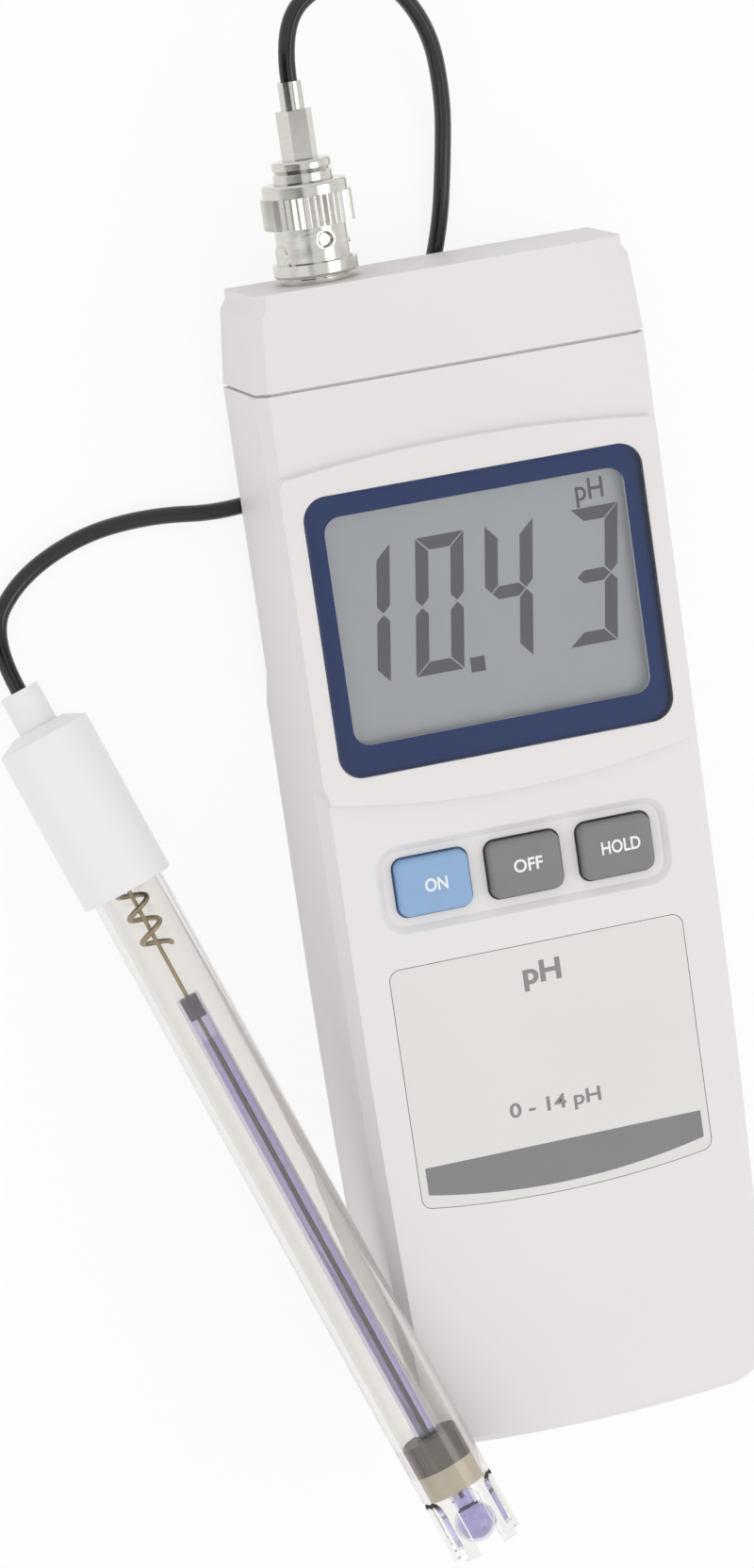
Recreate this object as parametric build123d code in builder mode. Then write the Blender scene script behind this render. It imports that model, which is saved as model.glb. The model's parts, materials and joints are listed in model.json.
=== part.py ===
from build123d import *
import os
from math import asin, atan, cos, degrees, pi, radians, sin, tan

os.makedirs("parts", exist_ok=True)

# The case lies on its back. X runs across the face, Y up the face to the head, Z out of it.
# The flat of the back is Z 0, and the case is the same on both sides of X 0.

# Case outline, at the back
head_top_y = 96.8
rim_y = 95.2
rim_half_width = 31.5
head_shoulder_y = 93.6
head_half_width = 32.5
head_split_y = 80.8
head_gap = 0.5
groove_depth = 0.8
body_half_width = 33.4
side_curve_y = -20.0
foot_y = -102.4
foot_sag = 1.7
foot_half_width = 31.4
foot_corner_radius = 8.5

# Case section
front_z = 28.2
seam_z = 8.5
draft = 0.6
face_bevel_width = 1.8
face_bevel_height = 2.4
back_edge_round = 1.4
relief_z = 3.6
relief_low_y = 26.0
relief_high_y = 32.0
head_back_z = 6.7
head_back_round = 3.5
side_wall = 2.2
front_wall = 1.8
back_wall = 2.6
top_wall = 2.2
fit_gap = 0.12
neck_gap = 0.05
tongue_wall = 1.2
tongue_reach = 3.0
tongue_root = 2.0

# Rest pads round the upper case screws
pad_radius = 4.5

# Raised field round the display
field_rise = 1.2
field_half_width = 32.1
field_top_y = 68.9
field_top_sag = 2.0
field_bottom_y = 9.7
field_bottom_sag = 3.1
field_corner_x = 0.9
field_corner_y = 3.4
field_ramp = 1.0

# Window
window_half_width = 28.8
window_low_y = 16.5
window_high_y = 63.3
window_radius = 4.0
window_proud = 0.3
window_thickness = 1.5
window_edge_round = 0.35
print_thickness = 0.15
view_half_width = 25.6
view_low_y = 21.5
view_high_y = 59.6
view_radius = 2.8
view_margin = 0.25

# Display glass and its holder
glass_margin_y = 2.6
glass_thickness = 2.8
glass_drop = 0.2
holder_wall = 1.2
holder_gap = 0.1
holder_ledge = 1.0
strip_width = 2.4
strip_inset_x = 1.5
strip_inset_y = 0.5

# Main board
board_half_width = 28.6
board_low_y = -21.0
board_high_y = 67.0
board_top_z = 18.6
board_thickness = 1.6
board_boss_x = 26.2
board_boss_high_y = 9.0
board_boss_low_y = -17.5
board_boss_radius = 2.2
board_screw_radius = 1.1
board_screw_length = 6.0
board_screw_head_radius = 2.0
board_screw_head_height = 1.3
chip_size = 12.0
chip_thickness = 2.0
chip_y = 40.0

# Keys in their tray
tray_half_width = 25.3
tray_low_y = -11.2
tray_high_y = 3.9
tray_radius = 4.2
tray_depth = 0.8
tray_slope = 55.0
key_pitch = 15.9
key_y = -3.5
key_width = 12.5
key_height = 9.6
key_radius = 1.6
key_proud = 1.0
key_gap = 0.4
key_crown_round = 0.7
key_flange = 0.9
key_flange_thickness = 1.0
key_flange_gap = 0.05
key_travel = 0.8
key_stem_radius = 2.4
mat_half_width = 23.5
mat_thickness = 1.0
mat_margin_y = 1.2
dome_radius = 4.2
dome_top_radius = 2.2
dome_height = 2.0

# Label plate
label_half_width = 25.7
label_top_y = -16.8
label_bottom_y = -60.2
label_bottom_sag = 2.0
label_radius = 2.0
label_thickness = 0.5
label_gap = 0.14

# Battery, its bay and the sliding door
battery_width = 26.5
battery_depth = 17.5
battery_length = 46.4
battery_radius = 1.6
battery_low_y = -88.0
battery_gap = 0.9
battery_clear = 0.1
stud_radius = 2.9
stud_pitch = 12.7
stud_height = 2.1
snap_thickness = 3.4
snap_margin = 0.8
bay_wall = 1.4
lead_radius = 0.6
lead_pitch = 6.4
lead_bend = 3.0
lead_hole_gap = 0.2
door_half_width = 16.0
door_sink = 0.3
door_thickness = 2.0
door_gap = 0.15
door_tongue = 1.2
door_tongue_thickness = 0.8
door_top_y = -31.0
door_floor = 1.6
grip_count = 5
grip_pitch = 2.2
grip_width = 1.1
grip_depth = 0.6
grip_length = 14.0
grip_y = -42.0

# Case screws
case_screw_x = 24.8
case_screw_low_y = -80.0
case_screw_high_y = 72.5
case_boss_radius = 3.3
case_screw_radius = 1.45
case_screw_length = 12.0
case_screw_head_radius = 2.8
case_screw_head_height = 2.0
case_screw_sink = 1.2
driver_slot = 0.8

# Panel socket, on its own axis along Y
socket_x = -18.0
socket_z = 17.5
socket_collar_radius = 5.6
socket_collar = 0.7
socket_radius = 4.8
socket_length = 10.1
socket_bore_radius = 4.2
socket_bore_depth = 8.6
socket_shank_radius = 4.6
socket_shank_length = 12.0
socket_insulator_radius = 2.4
socket_insulator_recess = 2.0
socket_insulator_tail = 14.0
contact_radius = 1.05
contact_bore_radius = 0.75
contact_bore_depth = 6.5
contact_tail = 16.5
contact_head_drop = 0.3
input_lead_drop = 5.5
input_lead_bend = 2.0
washer_radius = 6.6
washer_thickness = 0.8
nut_across_flats = 12.0
nut_thickness = 2.4
lug_angle = 8.0
lug_y = 103.7
lug_radius = 0.95
lug_reach = 5.6

# Plug, on the same axis
coupling_low_y = 97.9
coupling_flange_radius = 7.0
coupling_flange_height = 2.2
coupling_radius = 5.9
coupling_bore_gap = 0.15
knurl_low_y = 105.9
knurl_high_y = 110.9
knurl_radius = 7.45
knurl_depth = 0.4
knurl_count = 40
coupling_high_y = 113.0
coupling_crown_radius = 7.0
coupling_edge_round = 0.5
slot_gap = 0.18
slot_turn = 80.0
slot_lead = 1.8
slot_wall = 0.5
track_overlap = 0.03
seat_hole_radius = 1.35
chamber_low_y = 105.5
chamber_high_y = 111.3
chamber_radius = 5.4
plug_running_gap = 0.07
plug_shoulder_radius = 5.3
plug_shoulder_height = 1.4
plug_neck_radius = 4.85
plug_neck_groove = 0.4
plug_high_y = 116.6
plug_sleeve_gap = 0.12
plug_sleeve_wall = 0.7
plug_sleeve_low_y = 100.4
washer_ring_height = 1.0
plug_insulator_high_y = 115.4
pin_radius = 0.68
pin_low_y = 101.4
pin_high_y = 114.8
pin_round = 0.3
crimp_across_flats = 5.2
crimp_high_y = 124.6
ferrule_radius = 1.95
ferrule_high_y = 129.2

# Cable
cable_radius = 1.4
table_clear = 0.02
cable_end_run = 10.0
plug_end_run = 9.3
cable_way = [
    (-9.5, 144.3, 15.5),
    (1.8, 143.3, 12.0),
    (8.8, 133.8, 8.0),
    (10.5, 122.0, 4.5),
    (9.5, 111.0, 2.2),
    (7.5, 100.0, 1.6),
    (3.0, 88.0, 1.45),
    (-4.0, 77.0, 1.42),
    (-13.0, 68.0, 1.44),
    (-24.0, 61.5, 1.42),
    (-36.0, 59.5, 1.44),
    (-48.5, 61.2, 1.42),
    (-61.0, 60.0, 1.44),
    (-72.5, 54.5, 2.0),
]

# Probe. Its heel is the cap's rear rim on the table, and its tube leans on the case's corner.
heel_x = -73.0
heel_y = 29.1
probe_heading = -71.67
probe_reach = 123.5
probe_lean_angle = 29.6
probe_lean_gap = 0.2
cap_radius = 8.0
cap_length = 28.9
cap_socket_depth = 15.0
cap_socket_gap = 0.05
cap_shoulder = 1.7
cap_shoulder_radius = 4.6
neck_radius = 3.4
neck_length = 6.8
tube_radius = 6.25
tube_wall = 1.15
probe_length = 154.1
guard_slots = 5
guard_slot_width = 4.3
guard_slot_length = 11.3
guard_slot_turn = -1.2
junction_low = 11.0
junction_height = 4.6
seal_height = 5.4
stem_radius = 2.0
stem_wall = 0.5
bulb_radius = 3.5
bulb_height = 4.4
bulb_lift = 4.4
fill_gap = 0.03
stem_top = 104.8
silver_wire_radius = 0.35
silver_wire_low = 9.0
stopper_height = 4.0
stopper_low = 132.0
plug_disc_height = 6.0
cap_end_wall = 3.0
cap_edge_round = 0.4
ref_wire_radius = 0.45
ref_wire_coil_radius = 2.2
ref_wire_pitch = 4.4
ref_wire_turns = 4

overrun = 12.0


def case_outline(inset):
    """The case seen from the front, drawn in all round by the given distance."""
    corner = (foot_half_width, foot_y + foot_sag)
    with BuildSketch() as outline:
        with BuildLine():
            TangentArc((0, foot_y), corner, tangent=(1, 0))
            TangentArc((body_half_width, side_curve_y), corner, tangent=(0, -1))
            Polyline(
                (body_half_width, side_curve_y),
                (body_half_width, head_split_y),
                (head_half_width, head_shoulder_y),
                (rim_half_width, rim_y),
                (rim_half_width, head_top_y + overrun),
                (0, head_top_y + overrun),
                (0, foot_y),
            )
        make_face()
        fillet(outline.vertices().sort_by_distance(corner)[0], radius=foot_corner_radius)
        mirror(about=Plane.YZ)
        if inset > 0:
            offset(amount=-inset, kind=Kind.INTERSECTION, mode=Mode.REPLACE)
    return outline.sketch


def case_form(inset, floor, roof, head_inset, bevel_height):
    """The case as a plain form: sides drawn in, back raised, roof at a height, head cut short."""
    side_height = roof - bevel_height
    with BuildPart() as form:
        with BuildSketch():
            add(case_outline(inset))
        extrude(amount=side_height, taper=draft)
        if bevel_height > 0:
            with BuildSketch(Plane.XY.offset(side_height)):
                add(case_outline(inset + side_height * tan(radians(draft))))
            extrude(amount=bevel_height, taper=degrees(atan(face_bevel_width / bevel_height)))
        with BuildSketch(Plane.YZ):
            with BuildLine():
                Polyline(
                    (foot_y - overrun, floor),
                    (relief_low_y, floor),
                    (relief_high_y, relief_z + floor),
                    (head_split_y, relief_z + floor),
                    (head_top_y - head_inset, head_back_z + floor),
                    (head_top_y - head_inset, roof + overrun),
                    (foot_y - overrun, roof + overrun),
                    close=True,
                )
            make_face()
        extrude(amount=body_half_width + overrun, both=True, mode=Mode.INTERSECT)
    return form.part


def slab(low, high):
    """A block between two opposite corners."""
    with BuildPart() as block:
        with Locations(tuple((a + b) / 2 for a, b in zip(low, high))):
            Box(*(abs(b - a) for a, b in zip(low, high)))
    return block.part


def layer(low_y, high_y, low_z=-overrun, high_z=front_z + overrun):
    """A block across the whole case between two heights on its face and two depths."""
    reach = body_half_width + overrun
    return slab((-reach, low_y, low_z), (reach, high_y, high_z))


def turned(profile, plane):
    """A solid turned about the plane's Y: the profile is radius and distance along that axis."""
    with BuildPart() as piece:
        with BuildSketch(plane):
            with BuildLine():
                Polyline(*profile, close=True)
            make_face()
        revolve(axis=Axis(plane.origin, plane.y_dir))
    return piece.part


def cylinder_along(plane, radius, low, high):
    """A plain round bar along the plane's Y."""
    return turned([(0, low), (radius, low), (radius, high), (0, high)], plane)


socket_plane = Plane((socket_x, 0, socket_z))
roof_z = front_z - front_wall
tongue_low_z = door_sink + (door_thickness - door_tongue_thickness) / 2
tongue_inset = side_wall + fit_gap
inner_inset = tongue_inset + tongue_wall
shell_top_y = head_split_y - head_gap / 2
cap_low_y = head_split_y + head_gap / 2
cap_tongue_low_y = shell_top_y - tongue_reach
field_z = front_z + field_rise
board_bottom_z = board_top_z - board_thickness
window_top_z = field_z + window_proud
window_low_z = window_top_z - window_thickness
print_low_z = window_low_z - print_thickness
glass_half_width = board_half_width - holder_wall - holder_gap
glass_low_y = view_low_y - glass_margin_y
glass_high_y = view_high_y + glass_margin_y
glass_top_z = roof_z - glass_drop
glass_bottom_z = glass_top_z - glass_thickness
tray_floor_z = front_z - tray_depth
tray_y = (tray_low_y + tray_high_y) / 2
key_top_z = front_z + key_proud
key_flange_top_z = roof_z - key_flange_gap
key_flange_low_z = key_flange_top_z - key_flange_thickness
mat_top_z = board_top_z + mat_thickness
dome_top_z = mat_top_z + dome_height
key_stem_low_z = dome_top_z + key_travel + holder_gap
screw_seat_z = case_screw_sink + case_screw_head_height
case_screws_at = [(s * case_screw_x, y) for s in (-1, 1) for y in (case_screw_low_y, case_screw_high_y)]
board_screws_at = [(s * board_boss_x, y) for s in (-1, 1) for y in (board_boss_low_y, board_boss_high_y)]
bay_half_width = battery_width / 2 + battery_gap
bay_high_y = battery_low_y + battery_length + stud_height + snap_thickness
door_top_z = door_sink + door_thickness
battery_low_z = door_top_z + battery_clear
bay_roof_z = battery_low_z + battery_depth + battery_gap
web_low_z = door_top_z + door_gap
lead_z = battery_low_z + battery_depth / 2
key_xs = [(number - 1) * key_pitch for number in range(3)]

outer_case = case_form(0, 0, front_z, 0, face_bevel_height)
inner_case = case_form(side_wall, back_wall, roof_z, top_wall, 0)
tongue_outside = case_form(tongue_inset, back_wall + fit_gap, roof_z - fit_gap, top_wall, 0)
tongue_inside = case_form(inner_inset, back_wall + fit_gap + tongue_wall, roof_z - fit_gap - tongue_wall, 0, 0)
groove_outside = case_form(groove_depth, groove_depth, front_z - groove_depth, 0, face_bevel_height)

# Front shell: the face with its raised field, window seat, key tray, label seat and bosses
with BuildPart() as front_shell:
    add(outer_case)
    add(layer(shell_top_y, head_top_y + overrun), mode=Mode.SUBTRACT)
    with BuildSketch(Plane.XY.offset(field_z)):
        with BuildLine():
            Line(
                (field_half_width, field_bottom_y + field_bottom_sag + field_corner_y),
                (field_half_width, field_top_y - field_top_sag - field_corner_y / 2),
            )
            Line(
                (field_half_width, field_top_y - field_top_sag - field_corner_y / 2),
                (field_half_width - field_corner_x, field_top_y - field_top_sag),
            )
            ThreePointArc(
                (field_half_width - field_corner_x, field_top_y - field_top_sag),
                (0, field_top_y),
                (field_corner_x - field_half_width, field_top_y - field_top_sag),
            )
            Polyline(
                (field_corner_x - field_half_width, field_top_y - field_top_sag),
                (-field_half_width, field_top_y - field_top_sag - field_corner_y / 2),
                (-field_half_width, field_bottom_y + field_bottom_sag + field_corner_y),
                (field_corner_x - field_half_width, field_bottom_y + field_bottom_sag),
            )
            ThreePointArc(
                (field_corner_x - field_half_width, field_bottom_y + field_bottom_sag),
                (0, field_bottom_y),
                (field_half_width - field_corner_x, field_bottom_y + field_bottom_sag),
            )
            Line(
                (field_half_width - field_corner_x, field_bottom_y + field_bottom_sag),
                (field_half_width, field_bottom_y + field_bottom_sag + field_corner_y),
            )
        make_face()
    field_low_z = front_z - face_bevel_height
    side_half_width = body_half_width - field_low_z * tan(radians(draft))
    field_slope = degrees(atan((side_half_width - field_half_width) / (field_z - field_low_z)))
    extrude(amount=field_low_z - field_z, taper=-field_slope)
    add(layer(foot_y - overrun, shell_top_y, -overrun, seam_z), mode=Mode.SUBTRACT)
    add(inner_case, mode=Mode.SUBTRACT)
    with BuildSketch(Plane.XY.offset(seam_z)):
        with Locations(case_screws_at):
            Circle(case_boss_radius)
    extrude(amount=roof_z - seam_z)
    with BuildSketch(Plane.XY.offset(board_top_z)):
        with Locations(board_screws_at):
            Circle(board_boss_radius)
    extrude(amount=roof_z - board_top_z)
    with BuildSketch(Plane.XY.offset(window_top_z)):
        with Locations((0, (window_low_y + window_high_y) / 2)):
            RectangleRounded(
                2 * (window_half_width + holder_gap), window_high_y - window_low_y + 2 * holder_gap, window_radius
            )
    extrude(amount=print_low_z - window_top_z, mode=Mode.SUBTRACT)
    with BuildSketch(Plane.XY.offset(field_z)):
        with Locations((0, (view_low_y + view_high_y) / 2)):
            RectangleRounded(
                2 * (view_half_width + view_margin), view_high_y - view_low_y + 2 * view_margin, view_radius
            )
    extrude(amount=roof_z - field_z, mode=Mode.SUBTRACT)
    with BuildSketch(Plane.XY.offset(front_z)):
        with Locations((0, tray_y)):
            RectangleRounded(2 * tray_half_width, tray_high_y - tray_low_y, tray_radius)
    extrude(amount=-tray_depth, taper=tray_slope, mode=Mode.SUBTRACT)
    with BuildSketch(Plane.XY.offset(front_z)):
        with Locations([(x, key_y) for x in key_xs]):
            RectangleRounded(key_width + 2 * key_gap, key_height + 2 * key_gap, key_radius + key_gap)
    extrude(amount=roof_z - front_z, mode=Mode.SUBTRACT)
    with BuildSketch(Plane.XY.offset(front_z)) as label_outline:
        with BuildLine():
            Polyline(
                (label_half_width, label_bottom_y + label_bottom_sag),
                (label_half_width, label_top_y),
                (-label_half_width, label_top_y),
                (-label_half_width, label_bottom_y + label_bottom_sag),
            )
            ThreePointArc(
                (-label_half_width, label_bottom_y + label_bottom_sag),
                (0, label_bottom_y),
                (label_half_width, label_bottom_y + label_bottom_sag),
            )
        make_face()
        fillet(label_outline.vertices(), radius=label_radius)
    extrude(amount=-label_thickness, mode=Mode.SUBTRACT)
    with BuildSketch(Plane.XY.offset(seam_z)):
        with Locations(case_screws_at):
            Circle(case_screw_radius + neck_gap)
    extrude(amount=screw_seat_z + case_screw_length + neck_gap - seam_z, mode=Mode.SUBTRACT)
    with BuildSketch(Plane.XY.offset(board_top_z)):
        with Locations(board_screws_at):
            Circle(board_screw_radius + neck_gap)
    extrude(amount=board_screw_length - board_thickness + neck_gap, mode=Mode.SUBTRACT)

# Top cap: the head above the groove, with a tongue that the two shells close on
with BuildPart() as top_cap:
    add(outer_case)
    add(layer(foot_y - overrun, cap_low_y), mode=Mode.SUBTRACT)
    add(inner_case, mode=Mode.SUBTRACT)
    add(groove_outside & layer(shell_top_y, cap_low_y))
    add(tongue_outside & layer(cap_tongue_low_y, cap_low_y))
    add(tongue_inside & layer(cap_tongue_low_y - overrun, cap_low_y), mode=Mode.SUBTRACT)
    add(
        cylinder_along(socket_plane, socket_shank_radius + neck_gap, cap_low_y, head_top_y + overrun),
        mode=Mode.SUBTRACT,
    )

# Back shell: the tray under the front shell, with the battery bay, the door's way and the tongue
with BuildPart() as back_shell:
    add(outer_case)
    add(layer(shell_top_y, head_top_y + overrun), mode=Mode.SUBTRACT)
    add(layer(foot_y - overrun, shell_top_y, seam_z, front_z + overrun), mode=Mode.SUBTRACT)
    add(inner_case, mode=Mode.SUBTRACT)
    add(inner_case & layer(foot_y - overrun, cap_tongue_low_y - holder_gap, seam_z - tongue_root, seam_z))
    add(tongue_outside & layer(foot_y - overrun, cap_tongue_low_y - holder_gap, seam_z, seam_z + tongue_reach))
    add(
        tongue_inside & layer(foot_y - overrun, cap_tongue_low_y - holder_gap - tongue_wall, web_low_z),
        mode=Mode.SUBTRACT,
    )
    with BuildSketch() as pads:
        with Locations([(s * case_screw_x, case_screw_high_y) for s in (-1, 1)]):
            Circle(pad_radius)
    extrude(amount=relief_z + back_wall)
    with BuildSketch(Plane.XY.offset(case_screw_sink)) as posts:
        with Locations(case_screws_at):
            Circle(case_boss_radius)
    extrude(amount=seam_z - case_screw_sink)
    web_half_width = door_half_width + door_gap + bay_wall
    web_high_y = door_top_y + door_gap + bay_wall
    add(slab((-web_half_width, foot_y + foot_sag, web_low_z), (web_half_width, web_high_y, web_low_z + door_floor)))
    add(
        slab(
            (-bay_half_width - bay_wall, battery_low_y - bay_wall, web_low_z),
            (bay_half_width + bay_wall, bay_high_y + bay_wall, bay_roof_z + bay_wall),
        )
    )
    add(
        slab((-bay_half_width, battery_low_y, 0), (bay_half_width, bay_high_y, bay_roof_z)),
        mode=Mode.SUBTRACT,
    )
    add(
        slab(
            (-door_half_width - door_gap, foot_y - overrun, -overrun),
            (door_half_width + door_gap, door_top_y + door_gap, web_low_z),
        ),
        mode=Mode.SUBTRACT,
    )
    add(
        slab(
            (-door_half_width - door_tongue - door_gap, foot_y - overrun, tongue_low_z - door_gap),
            (door_half_width + door_tongue + door_gap, door_top_y, tongue_low_z + door_tongue_thickness + door_gap),
        ),
        mode=Mode.SUBTRACT,
    )
    with BuildSketch(Plane.XY.offset(-overrun)):
        with Locations(case_screws_at):
            Circle(case_screw_head_radius + fit_gap)
    extrude(amount=screw_seat_z + overrun, mode=Mode.SUBTRACT)
    with BuildSketch():
        with Locations(case_screws_at):
            Circle(case_screw_radius + neck_gap)
    extrude(amount=seam_z + overrun, mode=Mode.SUBTRACT)
    for side in (-1, 1):
        add(
            cylinder_along(
                Plane((side * lead_pitch / 2, 0, lead_z)),
                lead_radius + lead_hole_gap,
                bay_high_y - bay_wall,
                bay_high_y + overrun,
            ),
            mode=Mode.SUBTRACT,
        )

# Battery door, with a tongue down each side and grip slots across its outer face
with BuildPart() as battery_door:
    add(
        slab(
            (-door_half_width, foot_y - overrun, door_sink),
            (door_half_width, door_top_y, door_top_z),
        )
    )
    add(outer_case, mode=Mode.INTERSECT)
    add(
        slab(
            (-door_half_width - door_tongue, battery_low_y, tongue_low_z),
            (door_half_width + door_tongue, door_top_y - door_gap, tongue_low_z + door_tongue_thickness),
        )
    )
    with BuildSketch(Plane.XY.offset(door_sink)):
        with Locations([(0, grip_y - number * grip_pitch) for number in range(grip_count)]):
            SlotOverall(grip_length, grip_width)
    extrude(amount=grip_depth, mode=Mode.SUBTRACT)

# Case screws, their heads sunk in the back
with BuildPart() as case_screws:
    with BuildSketch(Plane.XY.offset(case_screw_sink)):
        with Locations(case_screws_at):
            Circle(case_screw_head_radius)
            Rectangle(2 * case_screw_head_radius, driver_slot, mode=Mode.SUBTRACT)
    extrude(amount=case_screw_head_height / 2)
    with BuildSketch(Plane.XY.offset(case_screw_sink + case_screw_head_height / 2)):
        with Locations(case_screws_at):
            Circle(case_screw_head_radius)
    extrude(amount=case_screw_head_height / 2)
    with BuildSketch(Plane.XY.offset(screw_seat_z)):
        with Locations(case_screws_at):
            Circle(case_screw_radius)
    extrude(amount=case_screw_length)

# Label plate, flush in its seat
with BuildPart() as label_plate:
    with BuildSketch(Plane.XY.offset(front_z - label_thickness)):
        add(label_outline.sketch)
        offset(amount=-label_gap, mode=Mode.REPLACE)
    extrude(amount=label_thickness)

# Display window and the printed border behind it
with BuildPart() as display_window:
    with BuildSketch(Plane.XY.offset(window_low_z)):
        with Locations((0, (window_low_y + window_high_y) / 2)):
            RectangleRounded(2 * window_half_width, window_high_y - window_low_y, window_radius)
    extrude(amount=window_thickness)
    fillet(display_window.faces().sort_by(Axis.Z)[-1].edges(), radius=window_edge_round)

with BuildPart() as window_border:
    with BuildSketch(Plane.XY.offset(print_low_z)):
        with Locations((0, (window_low_y + window_high_y) / 2)):
            RectangleRounded(2 * window_half_width, window_high_y - window_low_y, window_radius)
        with Locations((0, (view_low_y + view_high_y) / 2)):
            RectangleRounded(2 * view_half_width, view_high_y - view_low_y, view_radius, mode=Mode.SUBTRACT)
    extrude(amount=print_thickness)

# Display glass, its holder on the board and the two contact strips under it
with BuildPart() as lcd_panel:
    add(slab((-glass_half_width, glass_low_y, glass_bottom_z), (glass_half_width, glass_high_y, glass_top_z)))
    upper_edges = lcd_panel.faces().sort_by(Axis.Z)[-1].edges().filter_by(Axis.X)
    chamfer(upper_edges, length=glass_thickness / 2, length2=strip_inset_y)

with BuildPart() as lcd_frame:
    reach = holder_gap + holder_wall
    add(
        slab(
            (-glass_half_width - reach, glass_low_y - reach, board_top_z),
            (glass_half_width + reach, glass_high_y + reach, glass_top_z),
        )
    )
    add(
        slab(
            (-glass_half_width - holder_gap, glass_low_y - holder_gap, glass_bottom_z),
            (glass_half_width + holder_gap, glass_high_y + holder_gap, glass_top_z + overrun),
        ),
        mode=Mode.SUBTRACT,
    )
    add(
        slab(
            (holder_ledge - glass_half_width, glass_low_y, 0),
            (glass_half_width - holder_ledge, glass_high_y, front_z),
        ),
        mode=Mode.SUBTRACT,
    )

with BuildPart() as contact_strips:
    strip_half_length = glass_half_width - strip_inset_x
    for strip_y in (glass_low_y + strip_inset_y, glass_high_y - strip_inset_y - strip_width):
        add(
            slab(
                (-strip_half_length, strip_y, board_top_z),
                (strip_half_length, strip_y + strip_width, glass_bottom_z),
            )
        )

# Main board, its chip and its screws
with BuildPart() as main_board:
    add(slab((-board_half_width, board_low_y, board_bottom_z), (board_half_width, board_high_y, board_top_z)))
    fillet(main_board.edges().filter_by(Axis.Z), radius=board_boss_radius)
    with BuildSketch(Plane.XY.offset(board_top_z)):
        with Locations(board_screws_at):
            Circle(board_screw_radius + neck_gap)
    extrude(amount=-board_thickness, mode=Mode.SUBTRACT)

with BuildPart() as main_chip:
    with Locations((0, chip_y, board_bottom_z - chip_thickness / 2)):
        Box(chip_size, chip_size, chip_thickness)

with BuildPart() as board_screws:
    with BuildSketch(Plane.XY.offset(board_bottom_z)):
        with Locations(board_screws_at):
            Circle(board_screw_head_radius)
    extrude(amount=-board_screw_head_height)
    with BuildSketch(Plane.XY.offset(board_bottom_z)):
        with Locations(board_screws_at):
            Circle(board_screw_radius)
    extrude(amount=board_screw_length)

# Keys: a crowned cap, a flange under the case's roof and a stem over its dome
keys = {}
for key_name, key_x in zip(("key_on", "key_off", "key_hold"), key_xs):
    with BuildPart() as key:
        with BuildSketch(Plane.XY.offset(key_flange_top_z)):
            with Locations((key_x, key_y)):
                RectangleRounded(key_width, key_height, key_radius)
        extrude(amount=key_top_z - key_flange_top_z)
        fillet(key.faces().sort_by(Axis.Z)[-1].edges(), radius=key_crown_round)
        with BuildSketch(Plane.XY.offset(key_flange_low_z)):
            with Locations((key_x, key_y)):
                RectangleRounded(
                    key_width + 2 * key_flange, key_height + 2 * key_flange, key_radius + key_flange
                )
        extrude(amount=key_flange_thickness)
        with BuildSketch(Plane.XY.offset(key_stem_low_z)):
            with Locations((key_x, key_y)):
                Circle(key_stem_radius)
        extrude(amount=key_flange_low_z - key_stem_low_z)
    keys[key_name] = key.part

with BuildPart() as key_mat:
    with BuildSketch(Plane.XY.offset(board_top_z)):
        with Locations((0, key_y)):
            RectangleRounded(2 * mat_half_width, key_height + 2 * mat_margin_y, key_radius)
    extrude(amount=mat_thickness)
    with Locations([(x, key_y, mat_top_z + dome_height / 2) for x in key_xs]):
        Cone(dome_radius, dome_top_radius, dome_height)

# Battery, its snap cap and the two leads to the board
with BuildPart() as battery:
    battery_high_y = battery_low_y + battery_length
    add(
        slab(
            (-battery_width / 2, battery_low_y, battery_low_z),
            (battery_width / 2, battery_high_y, battery_low_z + battery_depth),
        )
    )
    fillet(battery.edges().filter_by(Axis.Y), radius=battery_radius)
    for side in (-1, 1):
        add(
            cylinder_along(
                Plane((side * stud_pitch / 2, 0, lead_z)), stud_radius, battery_high_y, battery_high_y + stud_height
            )
        )

with BuildPart() as battery_snap:
    snap_reach = stud_pitch / 2 + stud_radius + snap_margin
    with BuildSketch(Plane.XZ.offset(-battery_high_y)):
        with Locations((0, lead_z)):
            SlotOverall(2 * snap_reach, 2 * (stud_radius + snap_margin))
    extrude(amount=-(bay_high_y - battery_high_y))
    for side in (-1, 1):
        add(
            cylinder_along(
                Plane((side * stud_pitch / 2, 0, lead_z)),
                stud_radius + neck_gap,
                battery_high_y,
                battery_high_y + stud_height,
            ),
            mode=Mode.SUBTRACT,
        )

with BuildPart() as battery_leads:
    for side in (-1, 1):
        with BuildLine(Plane.YZ.offset(side * lead_pitch / 2)) as lead_way:
            FilletPolyline(
                (bay_high_y, lead_z),
                (board_low_y + lead_bend, lead_z),
                (board_low_y + lead_bend, board_bottom_z),
                radius=lead_bend,
            )
        with BuildSketch(Plane.XZ.offset(-bay_high_y)):
            with Locations((side * lead_pitch / 2, lead_z)):
                Circle(lead_radius)
        sweep(path=lead_way.line)

socket_mouth_y = head_top_y + socket_collar + socket_length

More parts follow.
